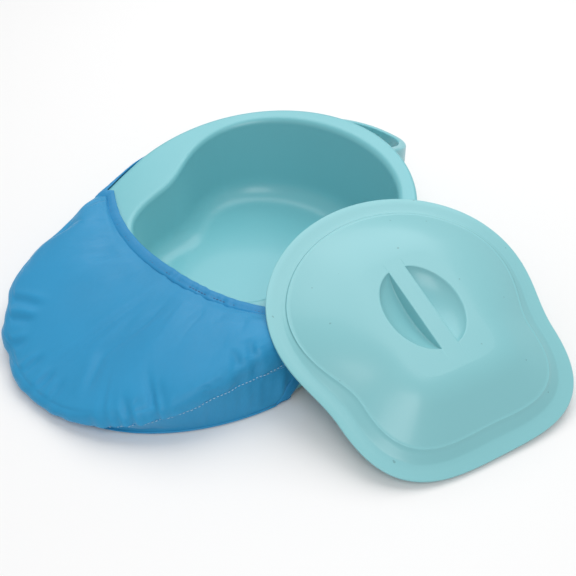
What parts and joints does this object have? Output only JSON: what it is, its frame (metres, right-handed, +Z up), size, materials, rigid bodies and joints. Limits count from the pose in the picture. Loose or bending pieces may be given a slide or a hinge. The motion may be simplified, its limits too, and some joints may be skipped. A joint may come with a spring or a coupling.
{
  "type": "bedpan",
  "caption": "Bedpan with a sloping seat, round bowl and rear handle loop, a lift-off domed lid with a sunk grip, and a padded fabric cover slipped over the seat.",
  "frame": {"origin": "on the ground, straight below the centre of the bowl's round rear end, at the middle of the flat foot the bowl stands on", "axes": "+Z up, +X to the rear where the handle is, -X to the tip of the seat, -Y the side the lid leans on"},
  "size_m": [0.4633, 0.4797, 0.0987],
  "materials": {
    "pan_plastic": "satin moulded polypropylene, aqua",
    "lid_plastic": "satin moulded polypropylene, aqua, a little paler than the pan",
    "foam": "thin open-cell foam",
    "cover_fabric": "fine coated weave with a soft sheen, mid blue",
    "hem_fabric": "the same weave, folded and gathered",
    "elastic": "flat woven elastic",
    "pale_thread": "sewing thread, pale blue",
    "dark_thread": "sewing thread, dark blue"
  },
  "bodies": {
    "pan": {"pan": "pan_plastic"},
    "lid": {"lid": "lid_plastic"},
    "cover": {"foam_pad": "foam", "top_panel": "cover_fabric", "side_band": "cover_fabric", "base_panel": "cover_fabric", "mouth_hem": "hem_fabric", "hem_elastic": "elastic", "seam_thread": "pale_thread", "hem_thread": "dark_thread"}
  },
  "joints": [
    {"name": "lid_lift", "type": "slide", "parent": "cover", "child": "lid", "axis": [0, 0, 1], "range_m": [0, 0.25]},
    {"name": "cover_slide", "type": "slide", "parent": "pan", "child": "cover", "axis": [-1, 0, 0], "range_m": [0, 0.25]}
  ]
}
